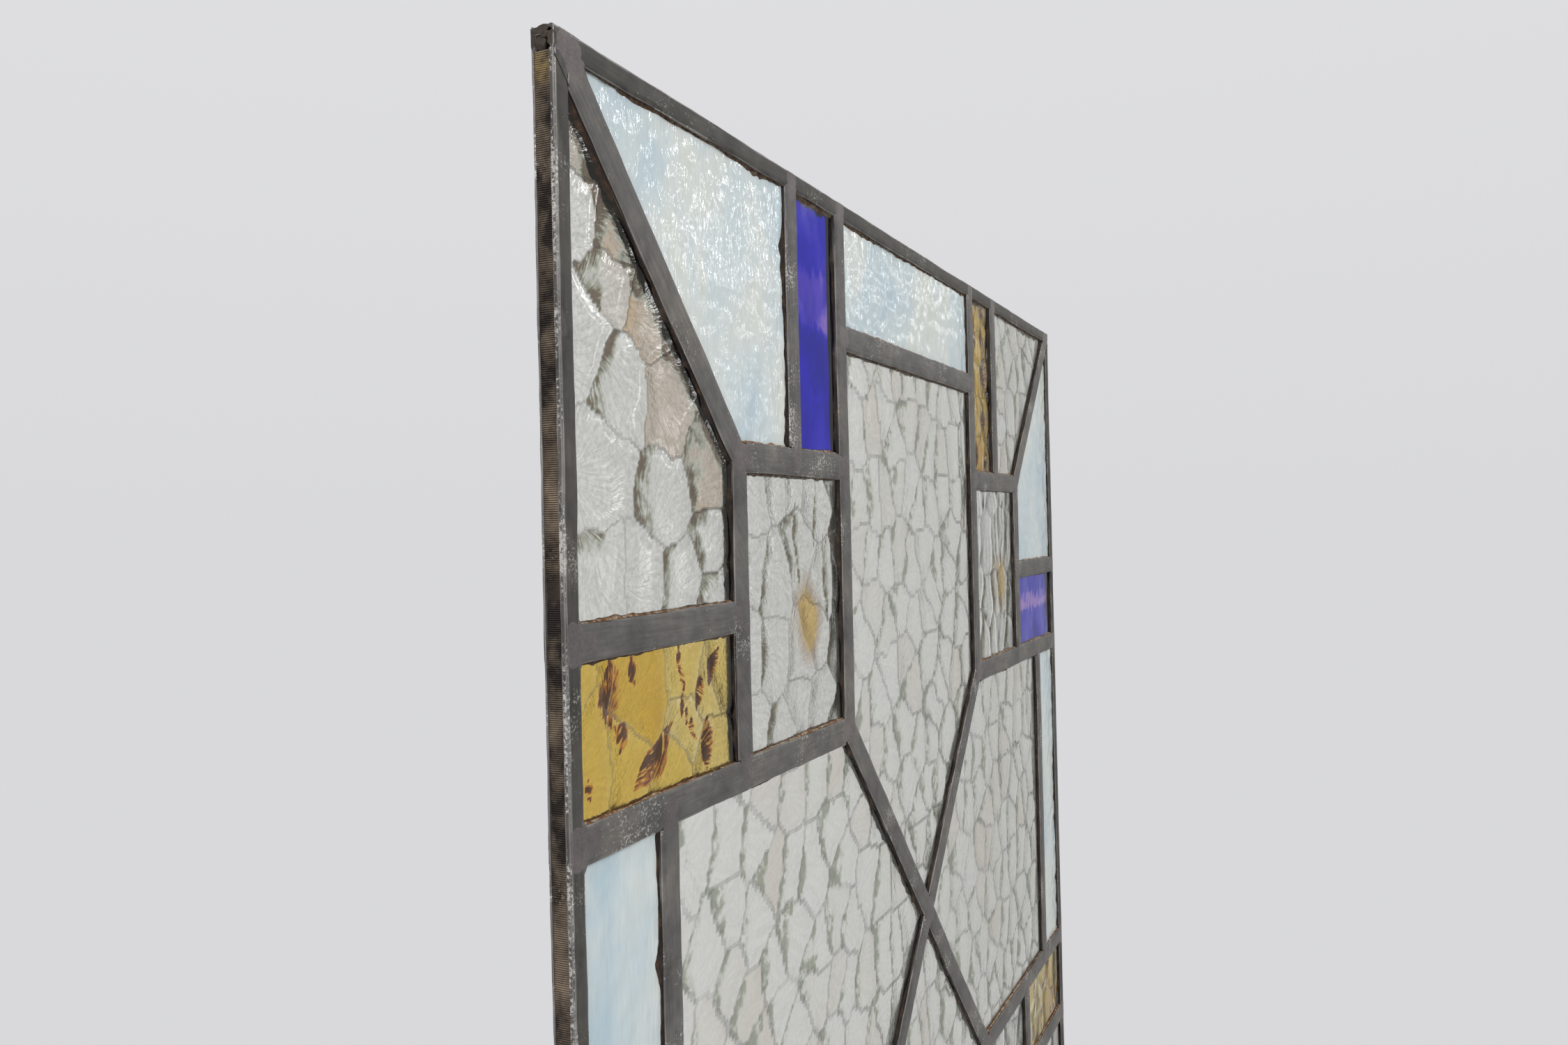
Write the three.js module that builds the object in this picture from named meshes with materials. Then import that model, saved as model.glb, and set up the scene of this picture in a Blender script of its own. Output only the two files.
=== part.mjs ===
// Leaded glass panel: strips of H-section lead came hold flat panes of glass in a symmetrical pattern.
// Millimetres. X runs along the width, Z up, and the front of the panel looks towards -Y.
// The origin is on the back face, in the middle of the bottom border came, where the panel beds on a rebate.
import * as THREE from 'three';

// Driving dimensions of the panel
const WIDTH = 500;
const HEIGHT = 550;
const THICKNESS = 6.6;
const GLASS_THICKNESS = 3.4;
const CAME_WIDTH = 9;
const HEART_WIDTH = 1.6;
const BORDER_WIDTH = 5;
const BORDER_HEART_OUTER = 0.7;
const BORDER_HEART_INNER = 2.1;
const BUTT_GAP = 0.3;
const CHANNEL_PLAY = 0.5;

// Centre lines of the pattern: columns are distances in from a side edge, rows from the top or bottom edge
const COLUMN_SIDE_STRIP = 43.5;
const COLUMN_CORNER = 87;
const COLUMN_STRIP_OUTER = 127;
const COLUMN_STRIP_INNER = 168;
const ROW_CENTRE_PANE = 47.5;
const ROW_STRIP_FOOT = 93.5;
const ROW_SQUARE = 140;
const ROW_LONG_BAR = 186;

// Came section: the flange is thickest at the heart and its edges are rolled over
const FACE = THICKNESS / 2;
const FLANGE_ROLL = 0.4;
const FLANGE_ROLL_WIDTH = 1.2;
const LIP_THICKNESS = 0.7;
const FLANGE_ROOT = 1.25;
const OUTER_LIP = 1.2;

const CORNERS = [
  { name: 'upper_left', side: -1, level: 1 },
  { name: 'upper_right', side: 1, level: 1 },
  { name: 'lower_left', side: -1, level: -1 },
  { name: 'lower_right', side: 1, level: -1 },
];

const FINISHES = {
  lead: { color: 0x656466, roughness: 0.6, metalness: 0.6 },
  clear: { color: 0xd6dcd6, roughness: 0.08, metalness: 0, opacity: 0.35, transparent: true },
  opal: { color: 0xcfdbe0, roughness: 0.2, metalness: 0 },
  blue: { color: 0x2e22a8, roughness: 0.12, metalness: 0 },
  amber: { color: 0xc9a437, roughness: 0.12, metalness: 0 },
};

const panel = new THREE.Group();
panel.position.set(0, -FACE, -BORDER_WIDTH / 2);

function addPiece(name, geometry, finish) {
  const material = new THREE.MeshStandardMaterial(FINISHES[finish]);
  const mesh = new THREE.Mesh(geometry, material);
  mesh.name = name;
  panel.add(mesh);
}

// A point of the pattern, counted in from the nearest side edge and from the nearest top or bottom edge
function place(column, row, corner) {
  const x = corner.side * (WIDTH / 2 - column);
  const z = corner.level > 0 ? HEIGHT - row : row;
  return new THREE.Vector2(x, z);
}

function outline(points) {
  return new THREE.Shape(points.map(([across, depth]) => new THREE.Vector2(across, depth)));
}

// H section: two flanges joined by a heart, drawn across the came and through the depth of the panel
function cameSection() {
  const half = CAME_WIDTH / 2;
  const crown = half - FLANGE_ROLL_WIDTH;
  const edge = FACE - FLANGE_ROLL;
  const lip = edge - LIP_THICKNESS;
  const root = FACE - FLANGE_ROOT;
  const heart = HEART_WIDTH / 2;
  return outline([
    [half, -lip], [half, -edge], [crown, -FACE], [0, -FACE], [-crown, -FACE], [-half, -edge],
    [-half, -lip], [-heart, -root], [-heart, root], [-half, lip], [-half, edge], [-crown, FACE],
    [0, FACE], [crown, FACE], [half, edge], [half, lip], [heart, root], [heart, -root],
  ].reverse());
}

// Border section: its channel opens inwards only, and the heart shows between two short outer lips
function borderSection() {
  const edge = FACE - FLANGE_ROLL;
  const lip = edge - LIP_THICKNESS;
  const root = FACE - FLANGE_ROOT;
  const outerEdge = 0.4;
  const recess = edge - OUTER_LIP;
  return outline([
    [0, -recess], [0, -edge], [outerEdge, -FACE], [BORDER_WIDTH - FLANGE_ROLL_WIDTH, -FACE],
    [BORDER_WIDTH, -edge], [BORDER_WIDTH, -lip], [BORDER_HEART_INNER, -root], [BORDER_HEART_INNER, root],
    [BORDER_WIDTH, lip], [BORDER_WIDTH, edge], [BORDER_WIDTH - FLANGE_ROLL_WIDTH, FACE],
    [outerEdge, FACE], [0, edge], [0, recess], [BORDER_HEART_OUTER, recess], [BORDER_HEART_OUTER, -recess],
  ]);
}

// The right-hand side of a direction of travel, seen from the front
function rightOf(direction) {
  return new THREE.Vector2(direction.y, -direction.x);
}

function directionOf(from, to) {
  return to.clone().sub(from).normalize();
}

// How far a cutting line lies along a ray: the line goes through "point" along "along"
function reach(start, direction, cut) {
  const normal = rightOf(cut.along);
  return cut.point.clone().sub(start).dot(normal) / direction.dot(normal);
}

// The edge of another came that an end butts against, moved off it by the butt gap
function edgeOf(from, to, halfWidth, towards) {
  const along = directionOf(from, to);
  const normal = rightOf(along);
  const facing = Math.sign(towards.clone().sub(from).dot(normal));
  const point = from.clone().addScaledVector(normal, facing * (halfWidth + BUTT_GAP));
  return { point, along };
}

// A came bent along a path: the section is carried from end to end, mitred at each bend and cut at both ends
function cameGeometry(section, path, startCuts, endCuts) {
  const legs = path.length - 1;
  const geometry = new THREE.ExtrudeGeometry(section, { depth: 1, steps: legs, bevelEnabled: false });
  const directions = path.slice(1).map((point, index) => directionOf(path[index], point));
  const position = geometry.attributes.position;
  for (let index = 0; index < position.count; index += 1) {
    const across = position.getX(index);
    const depth = position.getY(index);
    const station = Math.round(position.getZ(index) * legs);
    const leg = Math.min(station, legs - 1);
    const direction = directions[leg];
    const start = path[leg].clone().addScaledVector(rightOf(direction), across);
    let travel;
    if (station === 0) {
      travel = Math.max(...startCuts.map((cut) => reach(start, direction, cut)));
    } else if (station === legs) {
      travel = Math.min(...endCuts.map((cut) => reach(start, direction, cut)));
    } else {
      const before = directions[station - 1];
      const mitre = rightOf(before).add(rightOf(direction));
      travel = reach(start, direction, { point: path[station], along: mitre });
    }
    const point = start.addScaledVector(direction, travel);
    position.setXYZ(index, point.x, depth, point.y);
  }
  geometry.computeVertexNormals();
  return geometry;
}

// A pane fills the cell between its neighbours' hearts: each side of the cell is drawn in by its own inset
function paneGeometry(sides) {
  const lines = sides.map(({ from, to, inset, centre }) => {
    const along = directionOf(from, to);
    const normal = rightOf(along);
    const facing = Math.sign(centre.clone().sub(from).dot(normal));
    return { point: from.clone().addScaledVector(normal, facing * inset), along };
  });
  const corners = lines.map((line, index) => {
    const before = lines[(index + lines.length - 1) % lines.length];
    const travel = reach(before.point, before.along, line);
    return before.point.clone().addScaledVector(before.along, travel);
  });
  const geometry = new THREE.ExtrudeGeometry(new THREE.Shape(corners), {
    depth: GLASS_THICKNESS,
    bevelEnabled: false,
  });
  geometry.rotateX(Math.PI / 2);
  geometry.translate(0, GLASS_THICKNESS / 2, 0);
  return geometry;
}

const CAME_SECTION = cameSection();
const BORDER_SECTION = borderSection();
const HALF_CAME = CAME_WIDTH / 2;
const CROSSING = new THREE.Vector2(0, HEIGHT / 2);

// Inner edges of the border, as lines that the cames butt against
function borderSide(corner) {
  return edgeOf(place(0, 0, corner), place(0, HEIGHT, corner), BORDER_WIDTH, CROSSING);
}

function borderEnd(corner) {
  return edgeOf(place(0, 0, corner), place(WIDTH, 0, corner), BORDER_WIDTH, CROSSING);
}

function columnEdge(column, corner, towards) {
  return edgeOf(place(column, 0, corner), place(column, HEIGHT, corner), HALF_CAME, towards);
}

function rowEdge(row, corner, towards) {
  return edgeOf(place(0, row, corner), place(WIDTH, row, corner), HALF_CAME, towards);
}

function addCame(name, path, startCuts, endCuts) {
  addPiece(`came_${name}`, cameGeometry(CAME_SECTION, path, startCuts, endCuts), 'lead');
}

// Border cames: the top and bottom ones run the whole width and the side ones stand between them
function addBorder() {
  const [upperLeft, upperRight, lowerLeft, lowerRight] = CORNERS.map((corner) => place(0, 0, corner));
  const left = { point: upperLeft, along: directionOf(lowerLeft, upperLeft) };
  const right = { point: upperRight, along: directionOf(lowerRight, upperRight) };
  const [upper, , lower] = CORNERS.map((corner) => borderEnd(corner));
  const border = (name, path, start, end) => {
    addPiece(`border_${name}`, cameGeometry(BORDER_SECTION, path, [start], [end]), 'lead');
  };
  border('top', [upperLeft, upperRight], left, right);
  border('bottom', [lowerRight, lowerLeft], right, left);
  border('left', [lowerLeft, upperLeft], lower, upper);
  border('right', [upperRight, lowerRight], upper, lower);
}

// One corner of the pattern, which repeats in all four
function addCornerCames(corner) {
  const { name } = corner;
  const at = (column, row) => place(column, row, corner);
  const outerCorner = at(0, 0);
  const bend = at(COLUMN_CORNER, ROW_STRIP_FOOT);
  const diagonal = [outerCorner, bend, at(COLUMN_CORNER, ROW_LONG_BAR)];
  const diagonalCuts = [borderSide(corner), borderEnd(corner)];
  addCame(`corner_${name}`, diagonal, diagonalCuts, [rowEdge(ROW_LONG_BAR, corner, bend)]);

  const strip = [at(COLUMN_STRIP_OUTER, 0), at(COLUMN_STRIP_OUTER, ROW_STRIP_FOOT)];
  addCame(`strip_outer_${name}`, strip, [borderEnd(corner)], [rowEdge(ROW_STRIP_FOOT, corner, outerCorner)]);

  const innerCut = columnEdge(COLUMN_STRIP_INNER, corner, outerCorner);
  const footBar = [bend, at(COLUMN_STRIP_INNER, ROW_STRIP_FOOT)];
  addCame(`strip_foot_${name}`, footBar, [columnEdge(COLUMN_CORNER, corner, CROSSING)], [innerCut]);

  const squareBar = [at(0, ROW_SQUARE), at(COLUMN_CORNER, ROW_SQUARE)];
  const squareCut = columnEdge(COLUMN_CORNER, corner, outerCorner);
  addCame(`square_${name}`, squareBar, [borderSide(corner)], [squareCut]);

  const longBar = [at(0, ROW_LONG_BAR), at(COLUMN_STRIP_INNER, ROW_LONG_BAR)];
  addCame(`long_bar_${name}`, longBar, [borderSide(corner)], [innerCut]);
}

// Bars of the top and bottom centre panes, and the uprights of the two side strips
function addCentreAndSideCames() {
  const [upperLeft, upperRight, lowerLeft, lowerRight] = CORNERS;
  [['upper', upperLeft, upperRight], ['lower', lowerLeft, lowerRight]].forEach(([name, ...ends]) => {
    const bar = ends.map((corner) => place(COLUMN_STRIP_INNER, ROW_CENTRE_PANE, corner));
    const cuts = ends.map((corner) => columnEdge(COLUMN_STRIP_INNER, corner, CROSSING));
    addCame(`centre_bar_${name}`, bar, [cuts[0]], [cuts[1]]);
  });
  [['left', lowerLeft, upperLeft], ['right', lowerRight, upperRight]].forEach(([name, ...ends]) => {
    const upright = ends.map((corner) => place(COLUMN_SIDE_STRIP, ROW_LONG_BAR, corner));
    const cuts = ends.map((corner) => rowEdge(ROW_LONG_BAR, corner, CROSSING));
    addCame(`side_strip_${name}`, upright, [cuts[0]], [cuts[1]]);
  });
}

// The centre cross: one came runs from border to border through the crossing, and two butt against it there
function addCrossCames() {
  const [upperLeft, upperRight, lowerLeft, lowerRight] = CORNERS;
  const top = (corner) => place(COLUMN_STRIP_INNER, 0, corner);
  const shoulder = (corner) => place(COLUMN_STRIP_INNER, ROW_LONG_BAR, corner);
  const through = [top(upperLeft), shoulder(upperLeft), shoulder(lowerRight), top(lowerRight)];
  addCame('cross_through', through, [borderEnd(upperLeft)], [borderEnd(lowerRight)]);
  [upperRight, lowerLeft].forEach((corner) => {
    const cut = edgeOf(through[1], through[2], HALF_CAME, shoulder(corner));
    addCame(`cross_${corner.name}`, [top(corner), shoulder(corner), CROSSING], [borderEnd(corner)], [cut]);
  });
}

const CAME_INSET = HEART_WIDTH / 2 + CHANNEL_PLAY;
const BORDER_INSET = BORDER_HEART_INNER + CHANNEL_PLAY;

// A pane is named by its corners, in order, and by which of its sides lie on the border
function addPane(name, finish, corners, borderSides = []) {
  const centre = corners.reduce((sum, point) => sum.add(point), new THREE.Vector2());
  centre.divideScalar(corners.length);
  const sides = corners.map((from, index) => ({
    from,
    to: corners[(index + 1) % corners.length],
    inset: borderSides.includes(index) ? BORDER_INSET : CAME_INSET,
    centre,
  }));
  const geometry = paneGeometry(sides);
  addPiece(`pane_${finish}_${name}`, geometry, finish);
}

// Five panes in each corner; the colours swap from one side to the other and again from top to bottom
function addCornerPanes(corner) {
  const at = (column, row) => place(column, row, corner);
  const leading = corner.side * corner.level < 0;
  const { name } = corner;
  addPane(`corner_side_${name}`, leading ? 'clear' : 'opal', [
    at(0, 0), at(COLUMN_CORNER, ROW_STRIP_FOOT), at(COLUMN_CORNER, ROW_SQUARE), at(0, ROW_SQUARE),
  ], [3]);
  addPane(`corner_end_${name}`, leading ? 'opal' : 'clear', [
    at(0, 0), at(COLUMN_STRIP_OUTER, 0), at(COLUMN_STRIP_OUTER, ROW_STRIP_FOOT),
    at(COLUMN_CORNER, ROW_STRIP_FOOT),
  ], [0]);
  addPane(`strip_${name}`, leading ? 'blue' : 'amber', [
    at(COLUMN_STRIP_OUTER, 0), at(COLUMN_STRIP_INNER, 0), at(COLUMN_STRIP_INNER, ROW_STRIP_FOOT),
    at(COLUMN_STRIP_OUTER, ROW_STRIP_FOOT),
  ], [0]);
  addPane(`square_${name}`, leading ? 'amber' : 'blue', [
    at(0, ROW_SQUARE), at(COLUMN_CORNER, ROW_SQUARE), at(COLUMN_CORNER, ROW_LONG_BAR), at(0, ROW_LONG_BAR),
  ], [3]);
  addPane(`upright_${name}`, 'clear', [
    at(COLUMN_CORNER, ROW_STRIP_FOOT), at(COLUMN_STRIP_INNER, ROW_STRIP_FOOT),
    at(COLUMN_STRIP_INNER, ROW_LONG_BAR), at(COLUMN_CORNER, ROW_LONG_BAR),
  ]);
}

// Centre panes at the top and bottom, and the panes beside the crossing
function addCentreAndSidePanes() {
  const [upperLeft, upperRight, lowerLeft, lowerRight] = CORNERS;
  [['upper', upperLeft, upperRight], ['lower', lowerLeft, lowerRight]].forEach(([name, left, right]) => {
    addPane(`centre_${name}`, 'opal', [
      place(COLUMN_STRIP_INNER, 0, left), place(COLUMN_STRIP_INNER, 0, right),
      place(COLUMN_STRIP_INNER, ROW_CENTRE_PANE, right), place(COLUMN_STRIP_INNER, ROW_CENTRE_PANE, left),
    ], [0]);
    addPane(`centre_point_${name}`, 'clear', [
      place(COLUMN_STRIP_INNER, ROW_CENTRE_PANE, left), place(COLUMN_STRIP_INNER, ROW_CENTRE_PANE, right),
      place(COLUMN_STRIP_INNER, ROW_LONG_BAR, right), CROSSING, place(COLUMN_STRIP_INNER, ROW_LONG_BAR, left),
    ]);
  });
  [['left', upperLeft, lowerLeft], ['right', upperRight, lowerRight]].forEach(([name, upper, lower]) => {
    addPane(`side_strip_${name}`, 'opal', [
      place(0, ROW_LONG_BAR, upper), place(COLUMN_SIDE_STRIP, ROW_LONG_BAR, upper),
      place(COLUMN_SIDE_STRIP, ROW_LONG_BAR, lower), place(0, ROW_LONG_BAR, lower),
    ], [3]);
    addPane(`side_point_${name}`, 'clear', [
      place(COLUMN_SIDE_STRIP, ROW_LONG_BAR, upper), place(COLUMN_STRIP_INNER, ROW_LONG_BAR, upper),
      CROSSING, place(COLUMN_STRIP_INNER, ROW_LONG_BAR, lower), place(COLUMN_SIDE_STRIP, ROW_LONG_BAR, lower),
    ]);
  });
}

addBorder();
CORNERS.forEach(addCornerCames);
addCentreAndSideCames();
addCrossCames();
CORNERS.forEach(addCornerPanes);
addCentreAndSidePanes();

export default panel;
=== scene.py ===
import math

import bpy
from mathutils import Matrix, Vector, kdtree, noise


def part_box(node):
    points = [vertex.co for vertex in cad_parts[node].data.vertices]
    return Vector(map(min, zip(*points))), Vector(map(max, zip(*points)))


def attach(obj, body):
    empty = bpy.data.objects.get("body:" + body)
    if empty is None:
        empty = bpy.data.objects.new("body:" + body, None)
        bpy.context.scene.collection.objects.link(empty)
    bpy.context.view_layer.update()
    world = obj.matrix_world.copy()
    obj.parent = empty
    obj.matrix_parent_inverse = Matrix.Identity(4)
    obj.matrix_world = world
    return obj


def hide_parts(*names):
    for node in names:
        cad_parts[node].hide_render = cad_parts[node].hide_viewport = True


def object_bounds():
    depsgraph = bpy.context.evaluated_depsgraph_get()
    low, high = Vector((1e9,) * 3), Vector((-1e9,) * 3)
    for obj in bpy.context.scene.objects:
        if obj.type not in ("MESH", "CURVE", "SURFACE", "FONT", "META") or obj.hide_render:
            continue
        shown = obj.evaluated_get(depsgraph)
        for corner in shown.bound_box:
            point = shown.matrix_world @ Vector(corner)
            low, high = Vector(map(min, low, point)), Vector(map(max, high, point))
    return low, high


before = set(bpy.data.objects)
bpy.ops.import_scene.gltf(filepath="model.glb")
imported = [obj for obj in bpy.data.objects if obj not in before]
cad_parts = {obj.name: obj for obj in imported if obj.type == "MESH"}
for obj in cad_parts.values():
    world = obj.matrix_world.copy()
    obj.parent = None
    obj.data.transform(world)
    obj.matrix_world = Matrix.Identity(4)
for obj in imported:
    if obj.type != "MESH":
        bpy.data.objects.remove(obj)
cad_low, cad_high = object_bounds()
MM = 0.001


# Camera: close to the panel's left edge, a little above its middle, looking along the panel to its far
# side. A wide lens, so that the near edge stands tall and the far edge small.
camera_place = Vector((-466.45, -162.10, 432.83)) * MM
camera_turn = math.radians(25.10)
camera_rise = math.radians(0.283)
camera_roll = math.radians(-1.322)

ahead = Vector((math.cos(camera_turn) * math.cos(camera_rise),
                math.sin(camera_turn) * math.cos(camera_rise), math.sin(camera_rise)))
level_right = Vector((math.sin(camera_turn), -math.cos(camera_turn), 0.0))
level_up = level_right.cross(ahead)
right = math.cos(camera_roll) * level_right + math.sin(camera_roll) * level_up
up = math.cos(camera_roll) * level_up - math.sin(camera_roll) * level_right
camera_data = bpy.data.cameras.new("camera")
camera_data.sensor_width = 36.0
camera_data.lens = 26.95
camera_data.clip_start = 0.01
camera = bpy.data.objects.new("camera", camera_data)
bpy.context.scene.collection.objects.link(camera)
camera.matrix_world = Matrix.Translation(camera_place) @ Matrix((right, up, -ahead)).transposed().to_4x4()
bpy.context.scene.camera = camera
bpy.context.scene.view_settings.view_transform = "Standard"


# Studio: an even pale surround that is darker in front of the panel on its right, a pale floor well below,
# and soft lamps in front. The darker side is what the hammered glass and the lead mirror at this low angle.
def linear(code):
    """An sRGB hex colour as the linear colour that a shader takes."""
    parts = [int(code[place:place + 2], 16) / 255 for place in (1, 3, 5)]
    return (*[part / 12.92 if part <= 0.04045 else ((part + 0.055) / 1.055) ** 2.4 for part in parts], 1.0)


def connect(tree, node, links):
    """Links a node's inputs to their sources. A node as a source stands for its first output in use."""
    for name, source in links.items():
        if isinstance(source, bpy.types.Node):
            source = next(output for output in source.outputs if output.enabled)
        tree.links.new(source, node.inputs[name])


def add_node(tree, kind, settings=None, links=None, stops=None):
    """Adds a node, sets its options and input values, links its inputs, and places the stops of a ramp."""
    node = tree.nodes.new("ShaderNode" + kind)
    for name, value in (settings or {}).items():
        if isinstance(name, int) or name in node.inputs.keys():
            node.inputs[name].default_value = value
        else:
            setattr(node, name, value)
    connect(tree, node, links or {})
    if stops:
        ramp = node.color_ramp.elements
        while len(ramp) < len(stops):
            ramp.new(1.0)
        for element, (place, colour) in zip(ramp, stops):
            element.position = place
            element.color = linear(colour)
    return node


def new_material(name, values):
    """A new material, its node tree, and its shader with plain values on the sockets."""
    material = bpy.data.materials.new(name)
    material.use_nodes = True
    shader = material.node_tree.nodes["Principled BSDF"]
    for socket, value in values.items():
        shader.inputs[socket].default_value = value
    return material, material.node_tree, shader


world = bpy.data.worlds.new("studio")
bpy.context.scene.world = world
world.use_nodes = True
sky = world.node_tree
sky.nodes.clear()
direction = add_node(sky, "TexCoord")
compass = add_node(sky, "SeparateXYZ", {}, {0: direction.outputs["Generated"]}).outputs
surround = add_node(sky, "ValToRGB", {}, {"Fac": compass["Z"]}, [(0.0, "#D9D9DB"), (0.45, "#DFDFE1")])
forward = add_node(sky, "MapRange", {"From Min": -0.12, "From Max": -0.24}, {"Value": compass["Y"]})
rightward = add_node(sky, "MapRange", {"From Min": -0.5, "From Max": 0.5}, {"Value": compass["X"]})
low_down = add_node(sky, "MapRange", {"From Min": 0.75, "From Max": 0.35}, {"Value": compass["Z"]})
corner = add_node(sky, "Math", {"operation": "MULTIPLY"}, {0: forward, 1: rightward})
lower_corner = add_node(sky, "Math", {"operation": "MULTIPLY"}, {0: corner, 1: low_down})
room = add_node(sky, "Mix", {"data_type": "RGBA", "B": linear("#A2A49E")},
                {"Factor": lower_corner, "A": surround})
ray = add_node(sky, "LightPath")
backdrop = add_node(sky, "Mix", {"data_type": "RGBA"},
                    {"Factor": ray.outputs["Is Camera Ray"], "A": room, "B": surround})
background = add_node(sky, "Background", {"Strength": 1.0}, {"Color": backdrop})
add_node(sky, "OutputWorld", {}, {"Surface": background})

floor_drop = 0.6
floor_radius = 1.5
bpy.ops.mesh.primitive_circle_add(vertices=96, radius=floor_radius, fill_type="NGON",
                                  location=(0.0, 0.0, cad_low.z - floor_drop))
floor = bpy.context.object
floor.name = "studio_floor"
floor_paint, paint, matt_paint = new_material("pale studio floor",
                                              {"Base Color": linear("#DADADA"), "Roughness": 0.8})
floor_place = add_node(paint, "TexCoord").outputs["Object"]
from_middle = add_node(paint, "VectorMath", {"operation": "LENGTH"}, {0: floor_place})
fade = add_node(paint, "MapRange",
                {"From Min": 0.5 * floor_radius, "From Max": 0.97 * floor_radius,
                 "interpolation_type": "SMOOTHERSTEP"}, {"Value": from_middle})
clear_rim = add_node(paint, "BsdfTransparent")
faded = add_node(paint, "MixShader", {}, {0: fade, 1: matt_paint, 2: clear_rim})
connect(paint, paint.nodes["Material Output"], {"Surface": faded})
floor.data.materials.append(floor_paint)

# Two broad soft lamps, and small weak ones whose reflections are the glints in the hammered and opal glass:
# name, place, size in metres, and watts
panel_middle = (cad_low + cad_high) / 2
lamps = (
    ("lamp_front_high", (-0.3, -1.8, 1.7), 1.0, 14.0),
    ("lamp_left", (-1.6, -0.6, 1.2), 0.8, 5.0),
    ("lamp_glint_near", (1.71, -1.2, 0.41), 0.12, 0.14),
    ("lamp_glint_middle", (1.84, -1.2, 1.01), 0.12, 0.2),
    ("lamp_glint_far", (2.10, -1.2, 0.75), 0.12, 0.18),
    ("lamp_glint_high", (2.20, -1.2, 1.24), 0.12, 0.45),
    ("lamp_glint_higher", (1.60, -1.2, 1.40), 0.12, 0.4),
    ("lamp_glint_beyond", (3.40, -1.2, 1.24), 0.14, 0.35),
)
for name, place, size, power in lamps:
    lamp_data = bpy.data.lights.new(name, "AREA")
    lamp_data.shape = "DISK"
    lamp_data.size = size
    lamp_data.energy = power
    lamp = bpy.data.objects.new(name, lamp_data)
    lamp.location = place
    lamp.rotation_euler = (panel_middle - Vector(place)).to_track_quat("-Z", "Y").to_euler()
    bpy.context.scene.collection.objects.link(lamp)


# Lead cames: drawn strips of grey lead of H section, 9 mm wide, that hold the panes in their two channels.
# They are cut by hand, bent or butted together, and dressed flat, so their edges run a little uneven.
came_width = 9.0 * MM
half_thickness = (cad_high.y - cad_low.y) / 2
middle_depth = (cad_high.y + cad_low.y) / 2
station_step = 3.0 * MM
arris = 0.2 * MM
face_drop = 0.09 * MM
keep_in = 0.04 * MM
longest_stiff = 12 * MM
lead_smoothing = math.radians(35)


def make_active(piece):
    """Selects a piece and nothing else."""
    bpy.ops.object.select_all(action="DESELECT")
    piece.select_set(True)
    bpy.context.view_layer.objects.active = piece


def fresh_shape(add, **options):
    """A basic shape, with its turn and place made part of its mesh."""
    bpy.ops.object.select_all(action="DESELECT")
    add(**options)
    bpy.ops.object.transform_apply(location=True, rotation=True, scale=True)
    return bpy.context.object


def join_to(piece, others):
    """Makes other pieces part of a piece."""
    make_active(piece)
    for other in others:
        other.select_set(True)
    bpy.ops.object.join()


def shape_of(node, name):
    """A new piece with the form of a CAD node, whose loose triangles are joined into whole faces."""
    piece = bpy.data.objects.new(name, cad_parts[node].data.copy())
    piece.data.materials.clear()
    bpy.context.scene.collection.objects.link(piece)
    make_active(piece)
    bpy.ops.object.mode_set(mode="EDIT")
    bpy.ops.mesh.select_all(action="SELECT")
    bpy.ops.mesh.remove_doubles(threshold=0.01 * MM)
    bpy.ops.mesh.dissolve_limited(angle_limit=math.radians(1.0))
    bpy.ops.object.mode_set(mode="OBJECT")
    return piece


def apply_modifiers(piece):
    """Makes the piece's modifiers part of its mesh."""
    make_active(piece)
    for modifier in list(piece.modifiers):
        bpy.ops.object.modifier_apply(modifier=modifier.name)


def mark_draw(piece):
    """Notes on each face the way in which the lead was drawn, which is that of its longest edge."""
    mesh = piece.data
    drawn = mesh.attributes.new("drawn", "FLOAT_VECTOR", "FACE")
    for face in mesh.polygons:
        ends = [(mesh.vertices[a].co, mesh.vertices[b].co) for a, b in face.edge_keys]
        start, end = max(ends, key=lambda pair: (pair[1] - pair[0]).length)
        drawn.data[face.index].vector = (end - start).normalized()


def round_arrises(piece):
    """Rounds the sharp edges and gives the new faces the piece's second material, of rubbed lead."""
    rounding = piece.modifiers.new("arris", "BEVEL")
    rounding.width = arris
    rounding.segments = 2
    rounding.angle_limit = math.radians(40)
    rounding.material = 1
    apply_modifiers(piece)


def cut_stations(piece, axis, start, end, step):
    """Cuts rings across a piece at even steps along one axis, so that it can bend."""
    count = max(1, round(abs(end - start) / step))
    normal = Vector((0.0, 0.0, 0.0))
    normal[axis] = 1.0
    bpy.ops.object.mode_set(mode="EDIT")
    for index in range(1, count):
        bpy.ops.mesh.select_all(action="SELECT")
        bpy.ops.mesh.bisect(plane_co=normal * (start + (end - start) * index / count), plane_no=normal)
    bpy.ops.object.mode_set(mode="OBJECT")


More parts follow.
